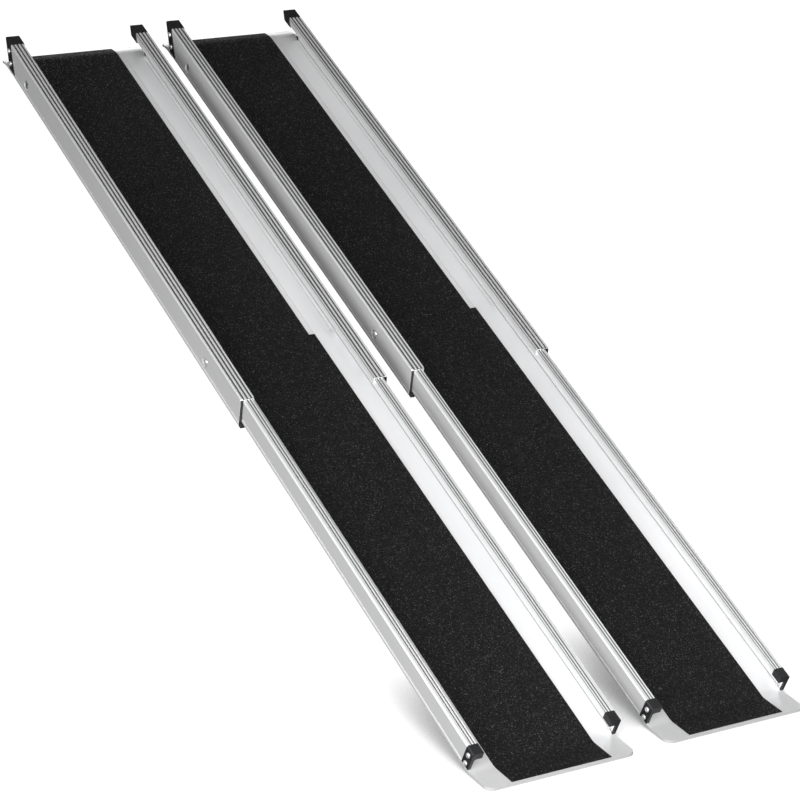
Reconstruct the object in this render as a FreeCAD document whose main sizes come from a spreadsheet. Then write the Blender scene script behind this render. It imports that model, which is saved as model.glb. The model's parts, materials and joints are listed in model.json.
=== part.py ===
"""Portable wheelchair ramp: two telescopic aluminium channel tracks laid side by side on a slope.

Each track has an upper section and a lower section that slides up inside it. Both are lipped
channels with a gritty tape on the deck, a bent lip at the free end and black caps on the rail ends.

A track is drawn lying flat: X across it, Y uphill along the deck from the mouth of the upper
section, Z up from the underside of the upper section. It is then tilted so that the bent lips are
level, with the lower lip on the ground at Z = 0 and the whole pair centred on X and Y.
"""
import FreeCAD
import Part
import math
import os
import re

import Sketcher

SIZES = [
    ("slope", 20, "incline in use, and the bend of both lips, degrees"),
    ("pitch", 270, "left track centre to right track centre"),
    ("stagger", 5, "right track set this much further uphill"),
    ("width", 228, "overall width of the upper section"),
    ("height", 38, "overall height of the upper section"),
    ("wall", 2.5, "side wall thickness"),
    ("deck", 3.3, "deck thickness"),
    ("flange", 2.4, "top flange thickness"),
    ("hem", 1.8, "thickness of the flange's turned-down edge"),
    ("upper_flange", 20.8, "flange width of the upper section"),
    ("upper_hem", 10, "depth of the turned-down edge, upper section"),
    ("lower_flange", 14.1, "flange width of the lower section"),
    ("lower_hem", 8.5, "depth of the turned-down edge, lower section"),
    ("side_gap", 2, "between the walls of the two sections, each side"),
    ("floor_gap", 1.2, "between the two decks"),
    ("roof_gap", 0.5, "between the two flanges"),
    ("upper_round", 2, "rounded top outer edge of a rail, upper section"),
    ("lower_round", 3, "rounded top outer edge of a rail, lower section"),
    ("hem_radius", 1, "rounded top inner edge of a rail"),
    ("heel_radius", 1, "rounded bottom outer edge of a rail"),
    ("upper_length", 808, "mouth to the upper rail ends, along the flange"),
    ("mouth_slant", 12, "rail bottom stands this far out at the mouth"),
    ("top_slant", 34, "rail bottom is cut back this far at the upper end"),
    ("reach", 626, "mouth to the near edge of the lower caps"),
    ("overlap", 129, "length of the lower section held inside the upper one"),
    ("travel", 620, "telescopic travel, also the spacing of the lock holes"),
    ("upper_cap", 20, "length of a rail end cap, upper section"),
    ("lower_cap", 16, "length of a rail end cap, lower section"),
    ("cap_end", 3, "thickness of a cap's end wall"),
    ("cap_plate", 1.5, "thickness of a cap's outer skin"),
    ("cap_leg", 4.4, "depth of a cap's leg, across the track"),
    ("cap_arch", 3, "rounded corner between a cap's head and its leg"),
    ("cap_lap", 1.3, "cap stands this far over the turned-down edge"),
    ("fit", 0.1, "gap between a cap and the rail inside it"),
    ("foot_bend", 21, "near edge of the lower caps to the bend of the lower lip"),
    ("foot_lip", 43, "length of the lower lip"),
    ("sill_bend", 12, "upper cap leg to the bend of the upper lip"),
    ("sill_lip", 18, "length of the upper lip"),
    ("foot_radius", 25, "inside radius of the lower lip's bend"),
    ("sill_radius", 40, "inside radius of the upper lip's bend"),
    ("foot_corner", 11, "rounded corners of the lower lip, in plan"),
    ("sill_corner", 7, "rounded corners of the upper lip, in plan"),
    ("grit", 0.8, "thickness of the grit tape"),
    ("upper_tape", 136, "width of the grit tape, upper section"),
    ("lower_tape", 147, "width of the grit tape, lower section"),
    ("foot_margin", 3, "bare edge left at the lower lip"),
    ("sill_margin", 1.2, "bare edge left at the upper lip"),
    ("seam_margin", 0.8, "bare edge left at the upper end of the lower deck"),
    ("upper_rib_first", 4.7, "rail edge to the first groove of the flange, upper section"),
    ("upper_rib_pitch", 6, "spacing of its flange grooves"),
    ("upper_rib_width", 3.6, "width of a flange groove, upper section"),
    ("upper_rib_depth", 1.1, "depth of a flange groove, upper section"),
    ("upper_rib_round", 1.2, "rounding of the ribs and grooves, upper section"),
    ("lower_rib_first", 6.6, "rail edge to the first groove of the flange, lower section"),
    ("lower_rib_pitch", 4.3, "spacing of its flange grooves"),
    ("lower_rib_width", 2.6, "width of a flange groove, lower section"),
    ("lower_rib_depth", 0.8, "depth of a flange groove, lower section"),
    ("lower_rib_round", 0.8, "rounding of the ribs and grooves, lower section"),
    ("wall_groove", 5.5, "bottom of the wall to the shallow groove along it"),
    ("wall_groove_half", 1.8, "half width of that groove"),
    ("wall_groove_depth", 0.7, "depth of that groove"),
    ("score", 0.5, "depth and half width of a line scored in the deck"),
    ("deck_line_near", 9, "tape edge to the first scored line of the upper deck"),
    ("deck_line_far", 6, "wall to the second scored line of the upper deck"),
    ("lock_along", 100, "mouth to the lock button"),
    ("lock_up", 15, "height of the lock button"),
    ("lock_hole", 14, "diameter of the lock holes in the upper section"),
    ("button", 10.6, "diameter of the lock button"),
    ("button_fit", 0.3, "radial gap of the button in the lower section's wall"),
    ("button_rim", 13.4, "diameter of the button's inner rim"),
    ("button_short", 0.3, "dome stops this far inside the upper section's wall"),
    ("button_round", 3.2, "rounding of the button's dome"),
    ("spring", 0.8, "thickness of the leaf spring"),
    ("spring_width", 8, "width of the leaf spring"),
    ("spring_foot", 38, "mouth to the fixed end of the leaf spring"),
    ("spring_flat", 20, "length of its riveted flat"),
    ("spring_rise", 12, "length over which it leaves the wall"),
    ("rivet", 3.2, "diameter of a rivet"),
    ("rivet_head", 6, "diameter of a rivet's head"),
    ("rivet_cap", 1, "height of a rivet's head"),
    ("rivet_space", 9, "spacing of the two rivets"),
    ("head_taper", 0.72, "flat top of a screw or rivet head, as a part of its diameter"),
    ("screw", 3.9, "diameter of a cap screw"),
    ("screw_head", 7.2, "diameter of its head"),
    ("screw_cap", 2, "height of its head"),
    ("screw_long", 8, "length of its shank"),
    ("screw_hole", 4.1, "hole for it in cap and rail"),
    ("screw_inset", 8, "end of a rail to the screws of its cap"),
    ("screw_low", 12, "height of the lower screw"),
    ("screw_high", 26, "height of the upper screw"),
    ("guide_length", 20, "length of a mouth guide"),
    ("guide_inset", 2, "mouth to the rubbing pad of a guide"),
    ("guide_gap", 0.3, "between a guide and the lower section"),
    ("guide_web", 0.6, "thickness of the guide's web"),
    ("guide_trim", 1.5, "thickness of the trim over the rail's end"),
    ("guide_set", 0.7, "trim stands this far in from the rail's outer face"),
    ("guide_foot", 3.5, "length of the guide's foot"),
    ("guide_width", 13, "width of the pad under the lower deck"),
    ("lip_root", 6, "rail end to the start of the bent lip, inside the deck"),
    ("spare", 1, "how far a cut reaches past the piece, and the tape stays off the seam"),
]
SIDES = {"left": -1, "right": 1}
ORIGIN = FreeCAD.Vector(0, 0, 0)
ROUND_TOLERANCE = 0.05

document = FreeCAD.newDocument("ramp")
sheet = document.addObject("Spreadsheet::Sheet", "Dims")
for row, (alias, size, note) in enumerate(SIZES, start=1):
    sheet.set(f"A{row}", str(size))
    sheet.setAlias(f"A{row}", alias)
    sheet.set(f"B{row}", note)
document.recompute()

nodes = []


# ---- expressions -------------------------------------------------------------------------------

def bound(text):
    """Turn words into references to the sheet: 'width / 2' becomes 'Dims.width / 2'."""
    return re.sub(r"\b(?!sin\b|cos\b|tan\b)[a-z_]{3,}", r"Dims.\g<0>", text)


def value(text):
    """The number that an expression stands for now."""
    return float(sheet.evalExpression(bound(text)))


# ---- the two channel sections, as expressions --------------------------------------------------

UPPER = {
    "half": "width / 2",
    "base": "0",
    "top": "height",
    "flange": "upper_flange",
    "hem": "upper_hem",
    "cap": "upper_cap",
    "round": "upper_round",
    "rib": "upper_rib",
    "grooves": 3,
}
LOWER = {
    "half": "(width / 2 - wall - side_gap)",
    "base": "(deck + floor_gap)",
    "top": "(height - flange - roof_gap)",
    "flange": "lower_flange",
    "hem": "lower_hem",
    "cap": "lower_cap",
    "round": "lower_round",
    "rib": "lower_rib",
    "grooves": 2,
}
for section in (UPPER, LOWER):
    section["floor"] = f"({section['base']} + deck)"


def sill_line(inset, up):
    """Y of the upper rail end at a height, moved back down the rail by inset."""
    return f"upper_length - ({inset}) - top_slant * (1 - ({up}) / height)"


def foot_line(inset, up):
    """Y of the lower rail end, which is square, moved back up the rail by inset."""
    return f"({inset}) - reach - lower_cap"


def mouth_line(inset, up):
    """Y of the mouth of the upper section at a height, moved back into it by inset."""
    return f"({inset}) - mouth_slant * (1 - ({up}) / height)"


# ---- drawing helpers ---------------------------------------------------------------------------

def new_body(name):
    """Start a body whose label names its file."""
    body = document.addObject("PartDesign::Body", name)
    body.Label = name
    nodes.append(body)
    return body


def sketch_on(body, role, offset, name):
    """Attach a sketch to one of the body's own origin planes, moved along its normal."""
    sketch = body.newObject("Sketcher::SketchObject", name)
    plane = next(item for item in body.Origin.OriginFeatures if item.Role == role)
    sketch.AttachmentSupport = (plane, [""])
    sketch.MapMode = "FlatFace"
    sketch.setExpression("AttachmentOffset.Base.z", bound(offset))
    return sketch


def draw_outline(sketch, corners):
    """Draw one closed outline, each corner held by its two distances from the sketch's origin."""
    count = len(corners)
    points = [FreeCAD.Vector(value(across), value(up), 0) for across, up in corners]
    lines = [Part.LineSegment(points[i], points[(i + 1) % count]) for i in range(count)]
    first = sketch.GeometryCount
    sketch.addGeometry(lines)
    constraints = []
    driven = []
    for index in range(count):
        here = first + index
        following = first + (index + 1) % count
        constraints.append(Sketcher.Constraint("Coincident", here, 2, following, 1))
        for kind, place, text in zip(("DistanceX", "DistanceY"), points[index], corners[index]):
            driven.append((sketch.ConstraintCount + len(constraints), text))
            constraints.append(Sketcher.Constraint(kind, -1, 1, here, 1, place))
    sketch.addConstraint(constraints)
    for index, text in driven:
        sketch.setExpression(f"Constraints[{index}]", bound(text))


def prism(body, kind, name, role, middle, depth, outlines):
    """Add (Pad) or cut (Pocket) a straight block, half of its depth to each side of middle."""
    toward = f"-({middle})" if role == "XZ_Plane" else middle
    sketch = sketch_on(body, role, toward, name + "Sketch")
    for corners in outlines:
        draw_outline(sketch, corners)
    before = body.Shape.Volume if body.Shape.Solids else 0
    feature = body.newObject("PartDesign::" + kind, name)
    feature.Profile = sketch
    feature.SideType = "Symmetric"
    feature.setExpression("Length", bound(depth))
    document.recompute()
    change = feature.Shape.Volume - before
    if (kind == "Pad") != (change > 0):
        raise RuntimeError(f"{body.Label} {name} changed nothing")
    return feature


def round_edges(body, name, radius, wanted):
    """Fillet the edges of the body for which wanted(edge) is true."""
    base = body.Tip
    found = [f"Edge{i}" for i, edge in enumerate(base.Shape.Edges, start=1) if wanted(edge)]
    if not found:
        raise RuntimeError(f"{body.Label} {name} found no edge")
    feature = body.newObject("PartDesign::Fillet", name)
    feature.Base = (base, found)
    feature.setExpression("Radius", bound(radius))
    document.recompute()
    return feature


def runs_along(edge, axis):
    """True for a straight edge parallel to axis 0, 1 or 2."""
    if not isinstance(edge.Curve, Part.Line):
        return False
    return abs(abs(edge.Curve.Direction[axis]) - 1) < ROUND_TOLERANCE


def middle_of(edge):
    return edge.BoundBox.Center


def close(first, second):
    return abs(first - second) < ROUND_TOLERANCE


def between(line, near, far, low, high):
    """Side view of the slice between two insets of an end line, from low to high."""
    return [
        (line(near, low), low),
        (line(far, low), low),
        (line(far, high), high),
        (line(near, high), high),
    ]


# ---- channel -----------------------------------------------------------------------------------

def mirrored(half_outline):
    """Close an outline from its right half, listed from the bottom edge round to the deck."""
    left = [(f"-({across})", up) for across, up in reversed(half_outline)]
    return half_outline + left


def wall_groove(half, base):
    """A shallow V along the outside of the wall."""
    middle = f"{base} + wall_groove"
    return [
        (half, f"{middle} - wall_groove_half"),
        (f"{half} - wall_groove_depth", middle),
        (half, f"{middle} + wall_groove_half"),
    ]


def deck_score(across, floor):
    """A fine V along the top of the deck."""
    return [
        (f"{across} + score", floor),
        (across, f"{floor} - score"),
        (f"{across} - score", floor),
    ]


def flange_groove(section, order):
    """A flat-bottomed groove along the top of the flange."""
    rib = section["rib"]
    middle = f"{section['half']} - {rib}_first - {order} * {rib}_pitch"
    top = section["top"]
    return [
        (f"{middle} + {rib}_width / 2", top),
        (f"{middle} + {rib}_width / 4", f"{top} - {rib}_depth"),
        (f"{middle} - {rib}_width / 4", f"{top} - {rib}_depth"),
        (f"{middle} - {rib}_width / 2", top),
    ]


def channel_outline(section, deck_lines):
    """Cross-section of a lipped channel with grooved flanges and walls and a scored deck."""
    half = section["half"]
    base = section["base"]
    top = section["top"]
    hem_outer = f"{half} - {section['flange']}"
    outline = [(half, base)]
    outline += wall_groove(half, base)
    outline.append((half, top))
    for order in range(section["grooves"]):
        outline += flange_groove(section, order)
    outline += [
        (hem_outer, top),
        (hem_outer, f"{top} - {section['hem']}"),
        (f"{hem_outer} + hem", f"{top} - {section['hem']}"),
        (f"{hem_outer} + hem", f"{top} - flange"),
        (f"{half} - wall", f"{top} - flange"),
        (f"{half} - wall", section["floor"]),
    ]
    for across in deck_lines:
        outline += deck_score(across, section["floor"])
    return mirrored(outline)


def lip_point(bend, section, along, up):
    """A point of a bent lip: along it from the bend (uphill positive), up from its underside."""
    if along == "0":
        return (f"{bend} + ({up}) * tan(slope / 2)", f"{section['base']} + {up}")
    return (
        f"{bend} + ({along}) * cos(slope) + ({up}) * sin(slope)",
        f"{section['base']} - ({along}) * sin(slope) + ({up}) * cos(slope)",
    )


def strip_outline(start, bend, section, end, low, high):
    """Side view of a strip that runs from start along the deck, over the bend, to the lip's end."""
    return [
        (start, f"{section['base']} + {low}"),
        lip_point(bend, section, "0", low),
        lip_point(bend, section, end, low),
        lip_point(bend, section, end, high),
        lip_point(bend, section, "0", high),
        (start, f"{section['base']} + {high}"),
    ]


def round_bend(body, bend, section, heights):
    """Round the bend of a strip at each height above the underside, on centred radii."""
    rising = bend == FOOT_BEND
    for order, up in enumerate(heights):
        along, level = (value(text) for text in lip_point(bend, section, "0", up))
        radius = f"foot_radius + deck - ({up})" if rising else f"sill_radius + ({up})"
        round_edges(
            body, f"Bend{order}", radius,
            lambda edge: runs_along(edge, 0)
            and close(middle_of(edge).y, along) and close(middle_of(edge).z, level),
        )


def round_corners(body, half, bend, section, end, radius):
    """Round the two outer corners of a lip, in plan."""
    along, level = (value(text) for text in lip_point(bend, section, end, "deck / 2"))
    edge_x = value(half)
    round_edges(
        body, "Corners", radius,
        lambda edge: close(abs(middle_of(edge).x), edge_x)
        and close(middle_of(edge).y, along) and close(middle_of(edge).z, level),
    )


def cut_cap_seat(body, section, line):
    """Mill the rail end back so that a cap over it lies flush."""
    half = section["half"]
    top = section["top"]
    above = f"{top} + spare"
    side = between(line, section["cap"], "0", section["floor"], above)
    for name, sign in SIDES.items():
        prism(body, "Pocket", f"Seat_{name}", "YZ_Plane", f"{sign} * ({half} - cap_plate / 2)",
              "cap_plate", [side])
    roof = between(line, section["cap"], "0", f"{top} - cap_plate", above)
    prism(body, "Pocket", "SeatTop", "YZ_Plane", "0", f"2 * ({half} + spare)", [roof])


def drill(body, name, places, middle, diameter, depth):
    """Drill round holes across the track, half of the depth to each side of middle."""
    sketch = sketch_on(body, "YZ_Plane", middle, name + "Sketch")
    for along, up in places:
        centre = FreeCAD.Vector(value(along), value(up), 0)
        circle = Part.Circle(centre, FreeCAD.Vector(0, 0, 1), value(diameter) / 2)
        index = sketch.addGeometry(circle)
        for kind, number, text in (("DistanceX", centre.x, along), ("DistanceY", centre.y, up)):
            held = sketch.addConstraint(Sketcher.Constraint(kind, -1, 1, index, 3, number))
            sketch.setExpression(f"Constraints[{held}]", bound(text))
        width = sketch.addConstraint(Sketcher.Constraint("Diameter", index, value(diameter)))
        sketch.setExpression(f"Constraints[{width}]", bound(diameter))
    before = body.Shape.Volume
    feature = body.newObject("PartDesign::Pocket", name)
    feature.Profile = sketch
    feature.SideType = "Symmetric"
    feature.setExpression("Length", bound(depth))
    document.recompute()
    if feature.Shape.Volume >= before:
        raise RuntimeError(f"{body.Label} {name} cut nothing")


def screw_places(line):
    """Side view of the two screws of a rail end cap."""
    return [(line("screw_inset", up), up) for up in ("screw_low", "screw_high")]


def rivet_places():
    """Side view of the two rivets of the leaf spring."""
    middle = "spring_foot + spring_flat / 2"
    return [(f"{middle} + {sign} * rivet_space / 2", "lock_up") for sign in SIDES.values()]


def round_rails(body, section):
    """Round the long edges of both rails, and their ribs into a wave."""
    half = section["half"]
    top = section["top"]
    grooves = []
    for order in range(section["grooves"]):
        grooves += flange_groove(section, order)
    for name, radius, corners in (
        ("RailTop", section["round"], [(half, top)]),
        ("RailHeel", "heel_radius", [(half, section["base"])]),
        ("HemTop", "hem_radius", [(f"{half} - {section['flange']}", top)]),
        ("Ribs", f"{section['rib']}_round", grooves),
    ):
        places = [(value(across), value(up)) for across, up in corners]
        round_edges(
            body, name, radius,
            lambda edge: runs_along(edge, 1) and any(
                close(abs(middle_of(edge).x), across) and close(middle_of(edge).z, up)
                for across, up in places
            ),
        )


SILL_BEND = f"{sill_line('0', 'deck')} + sill_bend"
FOOT_BEND = "0 - reach - foot_bend"


def upper_channel(name):
    """Outer section: open mouth below, slanted rail ends and a level lip above."""
    body = new_body(name)
    lines = ["width / 2 - wall - deck_line_far", "upper_tape / 2 + deck_line_near"]
    prism(body, "Pad", "Extrusion", "XZ_Plane", "(upper_length - mouth_slant) / 2",
          "upper_length + mouth_slant", [channel_outline(UPPER, lines)])
    round_rails(body, UPPER)
    mouth = [
        ("-mouth_slant - spare", "0"),
        ("-mouth_slant", "0"),
        ("0", "height"),
        ("0", "height + spare"),
        ("-mouth_slant - spare", "height + spare"),
    ]
    prism(body, "Pocket", "MouthCut", "YZ_Plane", "0", "width + 2 * spare", [mouth])
    top_end = [
        (sill_line("cap_end", "-spare"), "-spare"),
        (sill_line("cap_end", "height + spare"), "height + spare"),
        ("upper_length + spare", "height + spare"),
        ("upper_length + spare", "-spare"),
    ]
    prism(body, "Pocket", "TopCut", "YZ_Plane", "0", "width + 2 * spare", [top_end])
    cut_cap_seat(body, UPPER, sill_line)
    drill(body, "ScrewHoles", screw_places(sill_line), "0", "screw_hole",
          "width + 2 * spare")
    start = sill_line("lip_root", "0")
    lip = strip_outline(start, SILL_BEND, UPPER, "sill_lip", "0", "deck")
    prism(body, "Pad", "Lip", "YZ_Plane", "0", "width", [lip])
    round_bend(body, SILL_BEND, UPPER, ["0", "deck"])
    round_corners(body, UPPER["half"], SILL_BEND, UPPER, "sill_lip", "sill_corner")
    locks = [("lock_along", "lock_up"), ("lock_along + travel", "lock_up")]
    drill(body, "LockHoles", locks, "(wall - width) / 2", "lock_hole", "2 * wall")
    return body


def lower_channel(name):
    """Inner section: square rail ends and a lip that lies flat on the ground."""
    body = new_body(name)
    low_end = foot_line("cap_end", "0")
    prism(body, "Pad", "Extrusion", "XZ_Plane", f"(overlap + {low_end}) / 2",
          f"overlap - ({low_end})", [channel_outline(LOWER, [])])
    round_rails(body, LOWER)
    cut_cap_seat(body, LOWER, foot_line)
    drill(body, "ScrewHoles", screw_places(foot_line), "0", "screw_hole",
          f"2 * ({LOWER['half']} + spare)")
    start = foot_line("lip_root", "0")
    lip = strip_outline(start, FOOT_BEND, LOWER, "-foot_lip", "0", "deck")
    prism(body, "Pad", "Lip", "YZ_Plane", "0", f"2 * {LOWER['half']}", [lip])
    round_bend(body, FOOT_BEND, LOWER, ["0", "deck"])
    round_corners(body, LOWER["half"], FOOT_BEND, LOWER, "-foot_lip", "foot_corner")
    wall_middle = f"wall / 2 - {LOWER['half']}"
    drill(body, "ButtonHole", [("lock_along", "lock_up")], wall_middle,
          "button + 2 * button_fit", "2 * wall")
    drill(body, "RivetHoles", rivet_places(), wall_middle, "rivet + 2 * fit", "2 * wall")
    return body


# ---- grit tape ---------------------------------------------------------------------------------

def grit_tape(name, section, start, bend, end, wide):
    """Gritty tape stuck to the deck and over the bend of the lip."""
    body = new_body(name)
    side = strip_outline(start, bend, section, end, "deck", "deck + grit")
    prism(body, "Pad", "Tape", "YZ_Plane", "0", wide, [side])
    round_bend(body, bend, section, ["deck", "deck + grit"])
    return body


# ---- rail end caps -----------------------------------------------------------------------------

def end_cap(name, section, line, sign):
    """Black cap: a skin flush with the rail, a block under the flange and a thin end wall."""
    body = new_body(name)
    cap = section["cap"]
    half = section["half"]
    top = section["top"]
    hem_outer = f"{half} - {section['flange']}"
    inner = f"{hem_outer} - cap_lap"
    head_low = f"{top} - {section['hem']} - cap_lap"
    head_middle = f"{sign} * (({half} + {inner}) / 2)"
    head_depth = f"{half} - ({inner})"
    head = between(line, cap, "0", head_low, top)
    skin = between(line, cap, "0", section["floor"], top)
    prism(body, "Pad", "Head", "YZ_Plane", head_middle, head_depth, [head])
    prism(body, "Pad", "Skin", "YZ_Plane", f"{sign} * ({half} - cap_plate / 2)", "cap_plate",
          [skin])
    below = f"{section['floor']} - spare"
    slot = [
        (f"{half} - cap_plate + fit", below),
        (f"{half} - cap_plate + fit", f"{top} - cap_plate + fit"),
        (f"{hem_outer} - fit", f"{top} - cap_plate + fit"),
        (f"{hem_outer} - fit", f"{top} - {section['hem']} - fit"),
        (f"{hem_outer} + hem + fit", f"{top} - {section['hem']} - fit"),
        (f"{hem_outer} + hem + fit", f"{top} - flange - fit"),
        (f"{half} - wall - fit", f"{top} - flange - fit"),
        (f"{half} - wall - fit", below),
    ]
    slot = [(f"{sign} * ({across})", up) for across, up in slot]
    prism(body, "Pocket", "Slot", "XZ_Plane", line(f"{cap} / 2", top), 
          f"2 * ({cap} + top_slant)", [slot])
    wall_inset = "cap_end - fit"
    head_end = between(line, wall_inset, "0", head_low, top)
    leg_end = between(line, wall_inset, "0", section["floor"], top)
    prism(body, "Pad", "HeadEnd", "YZ_Plane", head_middle, head_depth, [head_end])
    prism(body, "Pad", "LegEnd", "YZ_Plane", f"{sign} * ({half} - cap_leg / 2)", "cap_leg",
          [leg_end])
    arch_x = value(f"{half} - cap_leg")
    arch_z = value(head_low)
    round_edges(
        body, "Arch", "cap_arch",
        lambda edge: runs_along(edge, 1)
        and close(abs(middle_of(edge).x), arch_x) and close(middle_of(edge).z, arch_z),
    )
    drill(body, "ScrewHoles", screw_places(line), f"{sign} * {half}", "screw_hole",
          "2 * (screw_long + spare)")
    edge_x = value(half)
    level = value(top)
    round_edges(
        body, "RailTop", section["round"],
        lambda edge: runs_along(edge, 1)
        and close(abs(middle_of(edge).x), edge_x) and close(middle_of(edge).z, level),
    )
    return body


# ---- turned pieces: screws, rivets and the lock button -----------------------------------------

def stud(name, head_diameter, head_height, diameter, length):
    """Headed stud along X: the head stands out to -X from the origin, the shank runs to +X."""
    head = document.addObject("Part::Cone", name + "Head")
    head.setExpression("Radius1", bound(f"{head_diameter} / 2"))
    head.setExpression("Radius2", bound(f"{head_diameter} * head_taper / 2"))
    head.setExpression("Height", bound(head_height))
    head.Placement = FreeCAD.Placement(ORIGIN, FreeCAD.Rotation(FreeCAD.Vector(0, 1, 0), -90))
    shank = document.addObject("Part::Cylinder", name + "Shank")
    shank.setExpression("Radius", bound(f"{diameter} / 2"))
    shank.setExpression("Height", bound(length))
    shank.Placement = FreeCAD.Placement(ORIGIN, FreeCAD.Rotation(FreeCAD.Vector(0, 1, 0), 90))
    joined = document.addObject("Part::Fuse", name)
    joined.Base = head
    joined.Tool = shank
    return joined


def group(name, members):
    """Identical fasteners kept together as separate solids of one sub-part."""
    compound = document.addObject("Part::Compound", name)
    compound.Label = name
    compound.Links = members
    nodes.append(compound)
    return compound


def cap_screws(name, section, line):
    """The two screws of each of the two caps at one end of a track."""
    members = []
    for side, sign in SIDES.items():
        across = sign * value(section["half"])
        turn = FreeCAD.Rotation(FreeCAD.Vector(0, 0, 1), 180 if sign > 0 else 0)
        for order, (along, up) in enumerate(screw_places(line)):
            screw = stud(f"{name}_{side}_{order}", "screw_head", "screw_cap", "screw",
                         "screw_long")
            place = FreeCAD.Vector(across, value(along), value(up))
            screw.Placement = FreeCAD.Placement(place, turn)
            members.append(screw)
    return group(name, members)


def spring_rivets(name):
    """The two rivets that hold the leaf spring to the lower section's wall."""
    members = []
    for order, (along, up) in enumerate(rivet_places()):
        rivet = stud(f"{name}_{order}", "rivet_head", "rivet_cap", "rivet", "wall + spring")
        tail = document.addObject("Part::Cylinder", f"{name}_{order}_tail")
        tail.setExpression("Radius", bound("rivet_head / 2"))
        tail.setExpression("Height", bound("rivet_cap"))
        start = FreeCAD.Vector(value("wall + spring"), 0, 0)
        tail.Placement = FreeCAD.Placement(start, FreeCAD.Rotation(FreeCAD.Vector(0, 1, 0), 90))
        whole = document.addObject("Part::Fuse", f"{name}_{order}_whole")
        whole.Base = rivet
        whole.Tool = tail
        place = FreeCAD.Vector(-value(LOWER["half"]), value(along), value(up))
        whole.Placement = FreeCAD.Placement(place, FreeCAD.Rotation())
        members.append(whole)
    return group(name, members)


def lock_button(name):
    """Round button with an inner rim and a domed nose, turned about the line across the track."""
    body = new_body(name)
    rim_face = f"-({LOWER['half']} - wall - fit)"
    nose = "-(width / 2 - wall - button_short)"
    sketch = sketch_on(body, "XY_Plane", "0", "ButtonSketch")
    draw_outline(sketch, [
        (f"{rim_face} + rivet_cap", "0"),
        (f"{rim_face} + rivet_cap", "button_rim / 2"),
        (rim_face, "button_rim / 2"),
        (rim_face, "button / 2"),
        (nose, "button / 2"),
        (nose, "0"),
    ])
    turned = body.newObject("PartDesign::Revolution", "Turned")
    turned.Profile = sketch
    turned.ReferenceAxis = (sketch, ["H_Axis"])
    turned.Angle = 360
    document.recompute()
    edge_x = value(nose)
    round_edges(
        body, "Dome", "button_round",
        lambda edge: close(middle_of(edge).x, edge_x) and close(middle_of(edge).y, 0),
    )
    body.Placement = FreeCAD.Placement(
        FreeCAD.Vector(0, value("lock_along"), value("lock_up")), FreeCAD.Rotation())
    return body


def lock_spring(name):
    """Leaf spring: riveted flat on the wall, then bent clear of it to lie behind the button."""
    body = new_body(name)
    face = f"-({LOWER['half']} - wall)"
    raised = f"{face} + 2 * fit + rivet_cap"
    bend = "spring_foot + spring_flat"
    risen = f"{bend} + spring_rise"
    end = "lock_along + button_rim / 2"
    outline = [
        (face, "spring_foot"),
        (f"{face} + spring", "spring_foot"),
        (f"{face} + spring", bend),
        (f"{raised} + spring", risen),
        (f"{raised} + spring", end),
        (raised, end),
        (raised, risen),
        (face, bend),
    ]
    prism(body, "Pad", "Leaf", "XY_Plane", "lock_up", "spring_width", [outline])
    drill(body, "RivetHoles", rivet_places(), f"wall - {LOWER['half']}", "rivet + 2 * fit",
          "2 * wall")
    return body


# ---- mouth guides ------------------------------------------------------------------------------

def mouth_guide(name, sign):
    """Black guide in the mouth: trim over the wall's end, rubbing pad and a pad under the deck."""
    body = new_body(name)
    outer = "(width / 2 - wall)"
    web_low = "deck"
    web_high = "height - flange - fit"
    web = [
        (mouth_line("0", web_low), web_low),
        ("guide_length", web_low),
        ("guide_length", web_high),
        (mouth_line("0", web_high), web_high),
    ]
    prism(body, "Pad", "Web", "YZ_Plane", f"{sign} * ({outer} - guide_web / 2)", "guide_web", [web])
    pad = [
        ("guide_inset", web_low),
        ("guide_length", web_low),
        ("guide_length", web_high),
        ("guide_inset", web_high),
    ]
    pad_thick = "(side_gap - guide_gap)"
    prism(body, "Pad", "SidePad", "YZ_Plane", f"{sign} * ({outer} - {pad_thick} / 2)", pad_thick,
          [pad])
    trim = between(mouth_line, "0 - guide_trim", "0", "fit", web_high)
    trim_wide = "(wall + guide_web - guide_set)"
    trim_middle = f"{sign} * (width / 2 - guide_set - {trim_wide} / 2)"
    prism(body, "Pad", "Trim", "YZ_Plane", trim_middle, trim_wide, [trim])
    sole = [
        (mouth_line("0", web_low), web_low),
        ("guide_length", web_low),
        ("guide_length", "deck + floor_gap - guide_gap"),
        (mouth_line("0", web_low), "deck + floor_gap - guide_gap"),
    ]
    prism(body, "Pad", "Sole", "YZ_Plane", f"{sign} * ({outer} - guide_width / 2)", "guide_width",
          [sole])
    foot = [
        (mouth_line("0 - guide_trim - guide_foot", "fit"), "fit"),
        (mouth_line("0", "fit"), "fit"),
        (mouth_line("0", "deck + floor_gap - guide_gap"), "deck + floor_gap - guide_gap"),
        (mouth_line("0 - guide_trim - guide_foot / 2", "deck"), "deck + floor_gap - guide_gap"),
    ]
    foot_middle = f"{sign} * (width / 2 - guide_set - guide_foot)"
    prism(body, "Pad", "Foot", "YZ_Plane", foot_middle, "2 * guide_foot", [foot])
    return body


# ---- a whole track, and the pair ---------------------------------------------------------------

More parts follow.
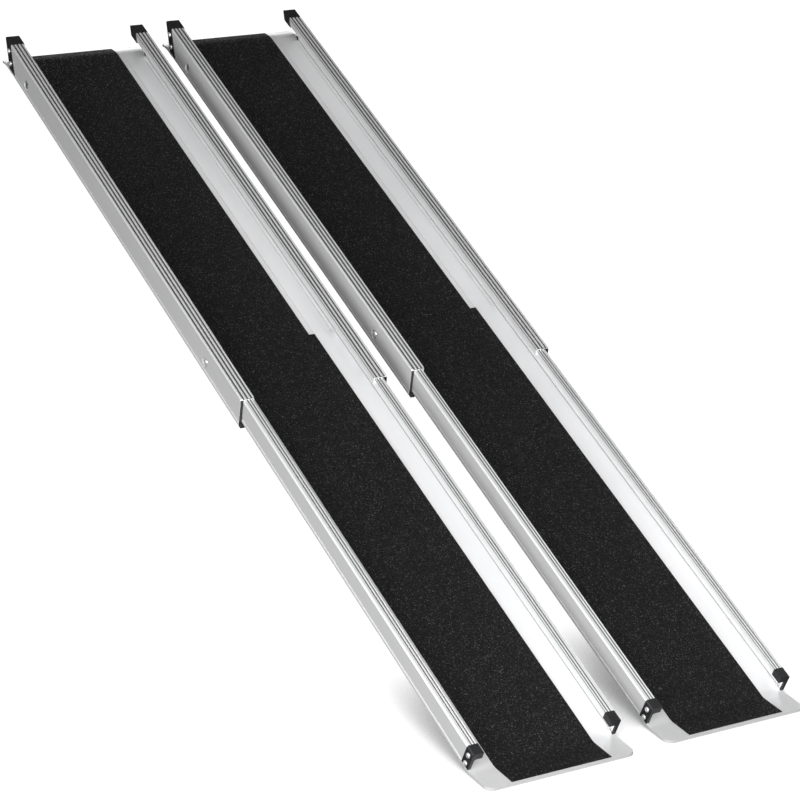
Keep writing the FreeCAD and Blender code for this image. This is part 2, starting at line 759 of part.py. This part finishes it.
def build_track(track):
    """Make every piece of one track, lying flat."""
    first = len(nodes)
    upper_channel(f"{track}_upper_channel")
    grit_tape(f"{track}_upper_grit_tape", UPPER, "overlap + spare", SILL_BEND,
              "sill_lip - sill_margin", "upper_tape")
    lower_channel(f"{track}_lower_channel")
    grit_tape(f"{track}_lower_grit_tape", LOWER, "overlap - seam_margin", FOOT_BEND,
              "foot_margin - foot_lip", "lower_tape")
    for side, sign in SIDES.items():
        end_cap(f"{track}_upper_cap_{side}", UPPER, sill_line, sign)
        end_cap(f"{track}_lower_cap_{side}", LOWER, foot_line, sign)
        mouth_guide(f"{track}_mouth_guide_{side}", sign)
    cap_screws(f"{track}_upper_cap_screws", UPPER, sill_line)
    cap_screws(f"{track}_lower_cap_screws", LOWER, foot_line)
    lock_button(f"{track}_lock_button")
    lock_spring(f"{track}_lock_spring")
    spring_rivets(f"{track}_spring_rivets")
    return nodes[first:]


def in_use(across, uphill):
    """Placement of a track on its slope, lower lip on the ground."""
    slope = math.radians(value("slope"))
    bend_y = value(FOOT_BEND)
    bend_z = value(LOWER["base"])
    ground = -(bend_y * math.sin(slope) + bend_z * math.cos(slope))
    low_end = bend_y * math.cos(slope) - bend_z * math.sin(slope) - value("foot_lip")
    high_end = value(SILL_BEND) * math.cos(slope) + value("sill_lip")
    middle = (low_end + high_end + value("stagger")) / 2
    turn = FreeCAD.Rotation(FreeCAD.Vector(1, 0, 0), value("slope"))
    return FreeCAD.Placement(FreeCAD.Vector(across, uphill - middle, ground), turn)


TRACKS = {
    "left": in_use(-value("pitch") / 2, 0),
    "right": in_use(value("pitch") / 2, value("stagger")),
}
for track, placement in TRACKS.items():
    for node in build_track(track):
        node.Placement = placement.multiply(node.Placement)

document.recompute()
for item in document.Objects:
    if {"Invalid", "Error"} & set(item.State):
        raise RuntimeError(f"{item.Label} failed: {item.State}")
os.makedirs("parts", exist_ok=True)
for node in nodes:
    if node.Shape.isNull() or not node.Shape.isValid():
        raise RuntimeError(f"{node.Label} has no valid shape")
    node.Shape.exportStep(f"parts/{node.Label}.step")
    print(f"{node.Label:30s} {len(node.Shape.Solids)} solid(s) {node.Shape.Volume:12.0f} mm3")
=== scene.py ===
"""Looks of the portable wheelchair ramp: two telescopic aluminium channel tracks on a slope.

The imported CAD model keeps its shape. This script gives every node a material, replaces the plain
screws, lock buttons and leaf springs by finished ones, and sets the floor, the lights and the
camera. Lengths are in metres, but for the camera's lens and sensor, which are in millimetres.
"""
import json
import math

import bmesh
import bpy
from mathutils import Matrix, Quaternion, Vector


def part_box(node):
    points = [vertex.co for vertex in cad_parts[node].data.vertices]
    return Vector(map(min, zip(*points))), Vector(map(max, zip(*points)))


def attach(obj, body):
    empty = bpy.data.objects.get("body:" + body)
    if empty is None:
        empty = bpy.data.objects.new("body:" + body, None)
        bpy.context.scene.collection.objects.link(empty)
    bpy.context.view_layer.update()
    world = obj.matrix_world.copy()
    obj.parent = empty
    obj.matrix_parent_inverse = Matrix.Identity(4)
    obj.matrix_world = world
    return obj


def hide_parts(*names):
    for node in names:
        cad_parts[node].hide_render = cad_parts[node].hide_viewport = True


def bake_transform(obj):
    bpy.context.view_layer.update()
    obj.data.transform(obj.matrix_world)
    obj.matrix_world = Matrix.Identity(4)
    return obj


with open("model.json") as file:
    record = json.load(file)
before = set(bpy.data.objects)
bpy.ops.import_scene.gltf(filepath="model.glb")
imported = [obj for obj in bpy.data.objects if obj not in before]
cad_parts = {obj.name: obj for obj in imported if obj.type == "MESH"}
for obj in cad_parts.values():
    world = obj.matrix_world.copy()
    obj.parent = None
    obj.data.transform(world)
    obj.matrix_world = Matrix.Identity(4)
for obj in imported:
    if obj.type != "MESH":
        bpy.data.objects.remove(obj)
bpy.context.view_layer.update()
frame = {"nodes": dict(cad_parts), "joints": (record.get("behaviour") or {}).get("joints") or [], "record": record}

TRACKS = ("left", "right")
NODES = frame["nodes"]
SLIDE = next(joint for joint in frame["joints"] if joint["name"] == "left_telescope")
UPHILL = Vector(SLIDE["axis"])
SLOPE = math.atan2(UPHILL.z, UPHILL.y)
DECK_NORMAL = Vector((0, -UPHILL.z, UPHILL.y))


# ---- camera ------------------------------------------------------------------------------------

CAMERA_PLACE = Vector((-2.095, -3.255, 1.8456))
CAMERA_LOOK = Vector((0.5056, 0.7677, -0.3937))
CAMERA_ROLL = math.radians(4.86)
CAMERA_LENS = 136.0
CAMERA_SENSOR = 36
CAMERA_FAR = 100


def add_camera():
    """A long lens from the lower left of the ramp, looking up the slope."""
    data = bpy.data.cameras.new("camera")
    data.lens = CAMERA_LENS
    data.sensor_width = CAMERA_SENSOR
    data.clip_end = CAMERA_FAR
    camera = bpy.data.objects.new("camera", data)
    bpy.context.scene.collection.objects.link(camera)
    level = CAMERA_LOOK.to_track_quat("-Z", "Y")
    camera.matrix_world = (
        Matrix.Translation(CAMERA_PLACE)
        @ (level @ Quaternion((0, 0, 1), CAMERA_ROLL)).to_matrix().to_4x4()
    )
    bpy.context.scene.camera = camera


# ---- shader helpers ----------------------------------------------------------------------------

# A Mix node's colour sockets, which share their names with its other ones.
MIX_A, MIX_B, MIX_RESULT = 6, 7, 2


class Shader:
    """One procedural material, with short calls for the nodes that it uses."""

    def __init__(self, name):
        self.material = bpy.data.materials.new(name)
        self.material.use_nodes = True
        self.tree = self.material.node_tree
        self.surface = self.tree.nodes["Principled BSDF"]

    def add(self, kind, **settings):
        """New node of a kind, with its settings."""
        node = self.tree.nodes.new(kind)
        for name, setting in settings.items():
            setattr(node, name, setting)
        return node

    def link(self, source, target):
        """Join an output to an input."""
        self.tree.links.new(source, target)

    def put(self, **values):
        """Set plain values on the surface's own sockets; _ stands for a space."""
        for name, setting in values.items():
            self.surface.inputs[name.replace("_", " ")].default_value = setting

    def along_deck(self, scale):
        """Object coordinates turned to lie along the deck, stretched by scale."""
        place = self.add("ShaderNodeTexCoord").outputs["Object"]
        turn = self.add("ShaderNodeMapping")
        turn.inputs["Rotation"].default_value = (-SLOPE, 0, 0)
        self.link(place, turn.inputs["Vector"])
        stretch = self.add("ShaderNodeMapping")
        stretch.inputs["Scale"].default_value = scale
        self.link(turn.outputs["Vector"], stretch.inputs["Vector"])
        return stretch.outputs["Vector"]

    def noise(self, scale, detail=2.0, rough=0.5):
        """Noise from 0 to 1, laid along the deck."""
        node = self.add("ShaderNodeTexNoise")
        node.inputs["Scale"].default_value = 1.0
        node.inputs["Detail"].default_value = detail
        node.inputs["Roughness"].default_value = rough
        self.link(self.along_deck(scale), node.inputs["Vector"])
        return node.outputs["Fac"]

    def ramp(self, source, stops):
        """Colour ramp through (place, colour) stops."""
        node = self.add("ShaderNodeValToRGB")
        elements = node.color_ramp.elements
        while len(elements) < len(stops):
            elements.new(0.5)
        for element, (place, colour) in zip(elements, stops):
            element.position = place
            element.color = (*colour, 1)
        self.link(source, node.inputs["Fac"])
        return node.outputs["Color"]

    def spread(self, source, low, high):
        """Map a 0 to 1 value to low to high."""
        node = self.add("ShaderNodeMapRange")
        node.inputs["To Min"].default_value = low
        node.inputs["To Max"].default_value = high
        self.link(source, node.inputs["Value"])
        return node.outputs["Result"]

    def bump(self, height, distance):
        """Normal of a surface raised by a 0 to 1 height times distance."""
        node = self.add("ShaderNodeBump")
        node.inputs["Strength"].default_value = 1.0
        node.inputs["Distance"].default_value = distance
        self.link(height, node.inputs["Height"])
        return node.outputs["Normal"]

    def to(self, socket, source):
        """Feed one of the surface's own sockets."""
        self.link(source, self.surface.inputs[socket])


# ---- materials ---------------------------------------------------------------------------------

# Depths below the top of a rail: a groove's painted shade starts, is full, and the grooved face ends.
GROOVE_TOP = 0.0002
GROOVE_FLOOR = 0.0007
GROOVED_DEPTH = 0.0016
# Plain rounded edge of a rail, outside its first groove.
RAIL_ROUND = 0.0035
# How far from a corner the metal's colour gets a painted shade.
CORNER_SHADE_REACH = 0.003


def groove_shade(shader, channel):
    """0 inside the grooves of a channel's flanges and 1 everywhere else, from its own places: the mask of their
    painted shade.
    """
    top = max(DECK_NORMAL.dot(vertex.co) for vertex in NODES[channel].data.vertices)
    place = shader.add("ShaderNodeTexCoord").outputs["Object"]
    level = shader.add("ShaderNodeVectorMath", operation="DOT_PRODUCT")
    level.inputs[1].default_value = DECK_NORMAL
    shader.link(place, level.inputs[0])
    depth = shader.add("ShaderNodeMapRange", interpolation_type="SMOOTHSTEP")
    depth.inputs["From Min"].default_value = top - GROOVE_FLOOR
    depth.inputs["From Max"].default_value = top - GROOVE_TOP
    shader.link(level.outputs["Value"], depth.inputs["Value"])
    under = shader.add("ShaderNodeMath", operation="LESS_THAN")
    under.inputs[1].default_value = top - GROOVED_DEPTH
    shader.link(level.outputs["Value"], under.inputs[0])
    across = shader.add("ShaderNodeSeparateXYZ")
    shader.link(place, across.inputs["Vector"])
    low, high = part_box(channel)
    offset = shader.add("ShaderNodeMath", operation="SUBTRACT")
    offset.inputs[1].default_value = (low.x + high.x) / 2
    shader.link(across.outputs["X"], offset.inputs[0])
    from_middle = shader.add("ShaderNodeMath", operation="ABSOLUTE")
    shader.link(offset.outputs["Value"], from_middle.inputs[0])
    outside = shader.add("ShaderNodeMath", operation="GREATER_THAN")
    outside.inputs[1].default_value = (high.x - low.x) / 2 - RAIL_ROUND
    shader.link(from_middle.outputs["Value"], outside.inputs[0])
    shade = depth.outputs["Result"]
    for other in (under, outside):
        joined = shader.add("ShaderNodeMath", operation="MAXIMUM")
        shader.link(shade, joined.inputs[0])
        shader.link(other.outputs["Value"], joined.inputs[1])
        shade = joined.outputs["Value"]
    return shade


def aluminium(channel):
    """Satin extruded aluminium with fine die lines along the rails, with painted shade in its grooves and corners.
    """
    shader = Shader(f"{channel}_aluminium")
    shader.put(Metallic=0.6)
    streaks = shader.noise((900, 3, 900), 3.0)
    patches = shader.noise((14, 3, 14), 4.0)
    clean = shader.ramp(patches, [(0.3, (0.84, 0.845, 0.85)), (0.7, (0.90, 0.90, 0.905))])
    # Painted shade: occlusion from the channel's own corners darkens the metal's colour near them.
    hollow = shader.add("ShaderNodeAmbientOcclusion", samples=6, only_local=True)
    hollow.inputs["Distance"].default_value = CORNER_SHADE_REACH
    corners = shader.ramp(hollow.outputs["AO"], [(0.4, (0.3, 0.3, 0.3)), (0.8, (1, 1, 1))])
    # Painted shade: the metal's colour is darkened inside the flange grooves.
    grooves = shader.ramp(groove_shade(shader, channel), [
        (0.0, (0.16, 0.16, 0.16)), (1.0, (1, 1, 1))])
    # Both painted shades, in corners and in grooves, multiply the metal's colour.
    for painted_shade in (corners, grooves):
        tone = shader.add("ShaderNodeMix", data_type="RGBA", blend_type="MULTIPLY")
        tone.inputs["Factor"].default_value = 1.0
        shader.link(clean, tone.inputs[MIX_A])
        shader.link(painted_shade, tone.inputs[MIX_B])
        clean = tone.outputs[MIX_RESULT]
    shader.to("Base Color", clean)
    shader.to("Roughness", shader.spread(streaks, 0.30, 0.44))
    shader.to("Normal", shader.bump(streaks, 0.00003))
    return shader.material


def grit():
    """Black anti-slip tape: coarse mineral grains; a few are painted lighter as a glint and are also smoother, so
    they catch real light too.
    """
    shader = Shader("grit_tape")
    grains = shader.add("ShaderNodeTexVoronoi")
    grains.inputs["Scale"].default_value = 1.0
    shader.link(shader.along_deck((900, 900, 900)), grains.inputs["Vector"])
    # Painted glint: a few grains get a lighter colour; the same grains also get a lower roughness.
    painted_grain_glint = shader.ramp(grains.outputs["Color"], [
        (0.0, (0.003, 0.003, 0.003)), (0.80, (0.007, 0.007, 0.007)), (0.95, (0.09, 0.09, 0.09))])
    shader.put(Specular_IOR_Level=0.11)
    shader.to("Base Color", painted_grain_glint)
    shader.to("Roughness", shader.spread(grains.outputs["Color"], 0.9, 0.35))
    shader.to("Normal", shader.bump(grains.outputs["Distance"], 0.0006))
    return shader.material


def black_plastic():
    """Moulded black plastic with a fine spark-eroded texture."""
    shader = Shader("black_plastic")
    fine = shader.noise((2500, 2500, 2500), 2.0)
    broad = shader.noise((60, 60, 60), 2.0)
    shader.to("Base Color", shader.ramp(broad, [
        (0.3, (0.006, 0.006, 0.007)), (0.7, (0.011, 0.011, 0.012))]))
    shader.to("Roughness", shader.spread(fine, 0.42, 0.60))
    shader.to("Normal", shader.bump(fine, 0.00004))
    return shader.material


def steel(name, colour, low, high):
    """Plated steel, lightly and unevenly polished."""
    shader = Shader(name)
    shader.put(Metallic=0.7)
    wear = shader.noise((700, 700, 700), 3.0)
    dark = tuple(0.85 * part for part in colour)
    shader.to("Base Color", shader.ramp(wear, [(0.35, dark), (0.65, colour)]))
    shader.to("Roughness", shader.spread(wear, low, high))
    return shader.material


MATERIALS = {
    "grit_tape": grit(),
    "black_plastic": black_plastic(),
    "screw_steel": steel("screw_steel", (0.80, 0.80, 0.81), 0.26, 0.40),
    "button_steel": steel("button_steel", (0.88, 0.88, 0.89), 0.24, 0.34),
    "spring_steel": steel("spring_steel", (0.50, 0.50, 0.52), 0.25, 0.40),
}


def paint_frame():
    """Give each CAD node the material of its slot in the record."""
    for entry in frame["record"]["subparts"]:
        slot = entry["material_slot"]
        material = aluminium(entry["node"]) if slot == "aluminium" else MATERIALS[slot]
        mesh = NODES[entry["node"]].data
        mesh.materials.clear()
        mesh.materials.append(material)


# ---- mesh helpers ------------------------------------------------------------------------------

WELD = 1e-6
SHARP_ANGLE = math.radians(35)


def solids_of(node):
    """(lowest, highest) corner of each separate solid of a node."""
    mesh = bmesh.new()
    mesh.from_mesh(NODES[node].data)
    bmesh.ops.remove_doubles(mesh, verts=mesh.verts, dist=WELD)
    waiting = set(mesh.verts)
    boxes = []
    while waiting:
        island = {waiting.pop()}
        edge_of_island = list(island)
        while edge_of_island:
            vertex = edge_of_island.pop()
            for edge in vertex.link_edges:
                other = edge.other_vert(vertex)
                if other in waiting:
                    waiting.discard(other)
                    island.add(other)
                    edge_of_island.append(other)
        places = [vertex.co for vertex in island]
        boxes.append((
            Vector([min(place[i] for place in places) for i in range(3)]),
            Vector([max(place[i] for place in places) for i in range(3)]),
        ))
    mesh.free()
    return boxes


def new_piece(name, mesh, slot, replaced, body=None):
    """Finish a bmesh as a piece that replaces a CAD node, and rides on a body if one is given."""
    data = bpy.data.meshes.new(name)
    mesh.to_mesh(data)
    mesh.free()
    data.materials.append(MATERIALS[slot])
    for face in data.polygons:
        face.use_smooth = True
    data.set_sharp_from_angle(angle=SHARP_ANGLE)
    piece = bpy.data.objects.new(name, data)
    bpy.context.scene.collection.objects.link(piece)
    if body:
        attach(piece, body)
    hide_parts(replaced)
    return piece


def lathe(mesh, profile, place, outward, segments=48):
    """Turn (radius, height) points about the outward axis through place."""
    side = Vector((0, 0, 1))
    across = outward.cross(side)
    rings = []
    for radius, height in profile:
        if radius == 0:
            rings.append([mesh.verts.new(place + outward * height)])
            continue
        ring = []
        for step in range(segments):
            angle = 2 * math.pi * step / segments
            spoke = side * math.cos(angle) + across * math.sin(angle)
            ring.append(mesh.verts.new(place + spoke * radius + outward * height))
        rings.append(ring)
    for lower, upper in zip(rings, rings[1:]):
        for step in range(segments):
            following = (step + 1) % segments
            corners = [lower[step % len(lower)], lower[following % len(lower)],
                       upper[following % len(upper)], upper[step % len(upper)]]
            unique = list(dict.fromkeys(corners))
            mesh.faces.new(unique)
    return rings


# ---- screws ------------------------------------------------------------------------------------

# Parts of a screw head's radius, except where they are parts of its height.
HEAD_SHOULDER = 0.35  # straight side, of its height
HEAD_FLAT = 0.45
SHANK = 0.54
RECESS_REACH = 0.42
RECESS_DEPTH = 0.6  # of its height
# Parts of the recess's reach: half the width of an arm, and how far in its floor is drawn.
RECESS_ARM = 0.34
RECESS_FLOOR = 0.7
# Smallest sine that an arm's width is divided by.
SMALL_SINE = 0.01


def pan_head(radius, height, steps=8):
    """Profile of a low domed head, from its foot to the flat on top."""
    shoulder = HEAD_SHOULDER * height
    points = [(radius, 0), (radius, shoulder)]
    for step in range(1, steps):
        angle = 0.5 * math.pi * step / steps
        points.append((radius * (HEAD_FLAT + (1 - HEAD_FLAT) * math.cos(angle)),
                       shoulder + (height - shoulder) * math.sin(angle)))
    return points


def cross_recess(mesh, rim, place, outward, reach, depth):
    """Close a head inside its rim with a cross-shaped drive recess."""
    side = Vector((0, 0, 1))
    across = outward.cross(side)
    arm = RECESS_ARM * reach
    top = outward * (rim[0].co - place).dot(outward)
    lip = []
    floor = []
    for step in range(len(rim)):
        angle = 2 * math.pi * step / len(rim)
        from_arm = (angle + math.pi / 4) % (math.pi / 2) - math.pi / 4
        spread = min(reach, arm / max(abs(math.sin(from_arm)), SMALL_SINE))
        spoke = side * math.cos(angle) + across * math.sin(angle)
        lip.append(mesh.verts.new(place + top + spoke * spread))
        floor.append(mesh.verts.new(
            place + top - outward * depth + spoke * spread * RECESS_FLOOR))
    for step in range(len(rim)):
        following = (step + 1) % len(rim)
        mesh.faces.new((rim[step], rim[following], lip[following], lip[step]))
        mesh.faces.new((lip[step], lip[following], floor[following], floor[step]))
    mesh.faces.new(floor)


def finished_screws(track, end):
    """Replace the plain cap screws of one end by pan heads with a cross recess."""
    node = f"{track}_{end}_cap_screws"
    low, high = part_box(node)
    middle = (low.x + high.x) / 2
    channel_low, channel_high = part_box(f"{track}_{end}_channel")
    mesh = bmesh.new()
    for corner_low, corner_high in solids_of(node):
        centre = (corner_low + corner_high) / 2
        outward = Vector((1 if centre.x > middle else -1, 0, 0))
        radius = (corner_high.y - corner_low.y) / 2
        wall = channel_high.x if outward.x > 0 else channel_low.x
        tip = corner_high.x if outward.x > 0 else corner_low.x
        place = Vector((wall, centre.y, centre.z))
        height = abs(tip - wall)
        tail = abs((corner_low.x if outward.x > 0 else corner_high.x) - wall)
        shank = [(0, -tail), (radius * SHANK, -tail), (radius * SHANK, 0)]
        rings = lathe(mesh, shank + pan_head(radius, height), place, outward)
        cross_recess(mesh, rings[-1], place, outward,
                     RECESS_REACH * radius, RECESS_DEPTH * height)
    new_piece(f"{track}_{end}_finished_screws", mesh, "screw_steel", node, f"{track}_{end}")


# ---- lock buttons ------------------------------------------------------------------------------

BUTTON_BODY = 0.791  # radius of the button, as a part of its rim's
BUTTON_RIM = 0.001  # thickness of that rim
DOME_PROUD = 0.0008  # how far the dome stands out of the rail's outer face
DOME_HEIGHT = 0.0036
DOME_STEPS = 10


def finished_button(track):
    """Replace the plain lock button by one whose polished dome stands in the rail's hole."""
    node = f"{track}_lock_button"
    low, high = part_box(node)
    rail_low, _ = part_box(f"{track}_upper_channel")
    outward = Vector((-1, 0, 0))
    place = Vector((high.x, (low.y + high.y) / 2, (low.z + high.z) / 2))
    rim = (high.z - low.z) / 2
    radius = BUTTON_BODY * rim
    reach = high.x - rail_low.x + DOME_PROUD
    shoulder = reach - DOME_HEIGHT
    profile = [(0, 0), (rim, 0), (rim, BUTTON_RIM), (radius, BUTTON_RIM), (radius, shoulder)]
    for step in range(1, DOME_STEPS + 1):
        angle = 0.5 * math.pi * step / DOME_STEPS
        profile.append((radius * math.cos(angle) if step < DOME_STEPS else 0,
                        shoulder + DOME_HEIGHT * math.sin(angle)))
    mesh = bmesh.new()
    lathe(mesh, profile, place, outward)
    new_piece(f"{track}_finished_button", mesh, "button_steel", node, f"{track}_button")


# ---- leaf springs ------------------------------------------------------------------------------

SPRING_SLICES = 24


def bending_spring(track):
    """Replace the rigid leaf spring by a copy cut into slices along its length."""
    node = f"{track}_lock_spring"
    low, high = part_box(node)
    mesh = bmesh.new()
    mesh.from_mesh(NODES[node].data)
    for step in range(1, SPRING_SLICES):
        whole = mesh.verts[:] + mesh.edges[:] + mesh.faces[:]
        place = low.lerp(high, step / SPRING_SLICES)
        bmesh.ops.bisect_plane(mesh, geom=whole, plane_co=place, plane_no=UPHILL)
    piece = new_piece(f"{track}_bending_spring", mesh, "spring_steel", node)
    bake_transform(piece)


# ---- floor and light ---------------------------------------------------------------------------

FLOOR_GLOW = 0.95
FLOOR_REACH = 200
FLOOR_LEVEL = -0.0005
SHADOW_REACH = 0.1
SHADOW_FULL = 0.35  # open part of the floor's surroundings where the painted shadow is deepest
SHADOW_NONE = 0.8
SHADOW_GLOW = 0.25  # glow that is left there
WORLD_GLOW = 0.05


def add_floor():
    """Plain white glowing floor under the lower lips, with a painted shadow: its glow is lower where the object is
    close to it.
    """
    shader = Shader("floor")
    # Painted shadow: occlusion by the object lowers the floor's glow.
    shadow = shader.add("ShaderNodeAmbientOcclusion", samples=8)
    shadow.inputs["Distance"].default_value = SHADOW_REACH
    glow = shader.add("ShaderNodeMapRange")
    glow.inputs["From Min"].default_value = SHADOW_FULL
    glow.inputs["From Max"].default_value = SHADOW_NONE
    glow.inputs["To Min"].default_value = SHADOW_GLOW * FLOOR_GLOW
    glow.inputs["To Max"].default_value = FLOOR_GLOW
    shader.link(shadow.outputs["AO"], glow.inputs["Value"])
    shader.to("Emission Strength", glow.outputs["Result"])
    shader.put(Base_Color=(0.22, 0.22, 0.22, 1), Roughness=0.9, Specular_IOR_Level=0.0,
               Emission_Color=(1, 1, 1, 1))
    mesh = bpy.data.meshes.new("floor")
    corners = [(-1, -1), (1, -1), (1, 1), (-1, 1)]
    mesh.from_pydata([(x * FLOOR_REACH, y * FLOOR_REACH, FLOOR_LEVEL) for x, y in corners],
                     [], [(0, 1, 2, 3)])
    floor = bpy.data.objects.new("floor", mesh)
    bpy.context.scene.collection.objects.link(floor)
    mesh.materials.append(shader.material)
    floor.visible_diffuse = False
    floor.visible_glossy = False


def add_area(name, place, target, size, power):
    """Rectangular soft light at place, turned towards target."""
    data = bpy.data.lights.new(name, "AREA")
    data.shape = "RECTANGLE"
    data.size, data.size_y = size
    data.energy = power
    lamp = bpy.data.objects.new(name, data)
    lamp.location = place
    lamp.rotation_euler = (Vector(target) - Vector(place)).to_track_quat("-Z", "Y").to_euler()
    bpy.context.scene.collection.objects.link(lamp)


LIGHTS = (
    # name, place, target, size, power
    ("front", (-0.3, -2.8, 1.5), (0, -0.3, 0.2), (1.6, 1.6), 112),
    ("left_near", (-1.9, -1.3, 0.8), (0, -0.3, 0.2), (1.2, 0.8), 55),
    ("left_low", (-2.6, 0.2, 0.9), (0, 0.2, 0.3), (1.6, 0.9), 12),
    ("left_high", (-2.2, -1.0, 2.2), (0, 0, 0.2), (1.6, 1.6), 20),
    ("right_fill", (3.0, 0.6, 0.9), (0, 0, 0.2), (2.0, 1.2), 25),
    ("back_fill", (0.8, 3.4, 1.2), (0, 0, 0.3), (2.0, 1.2), 20),
)


def add_light():
    """Soft lights from the front left, with weak fills from the other sides."""
    world = bpy.data.worlds.new("studio")
    bpy.context.scene.world = world
    world.use_nodes = True
    sky = world.node_tree.nodes["Background"]
    sky.inputs["Color"].default_value = (1, 1, 1, 1)
    sky.inputs["Strength"].default_value = WORLD_GLOW
    for light in LIGHTS:
        add_area(*light)
    bpy.context.scene.view_settings.view_transform = "Standard"


add_camera()
paint_frame()
for track in TRACKS:
    for end in ("upper", "lower"):
        finished_screws(track, end)
    finished_button(track)
    bending_spring(track)
add_floor()
add_light()
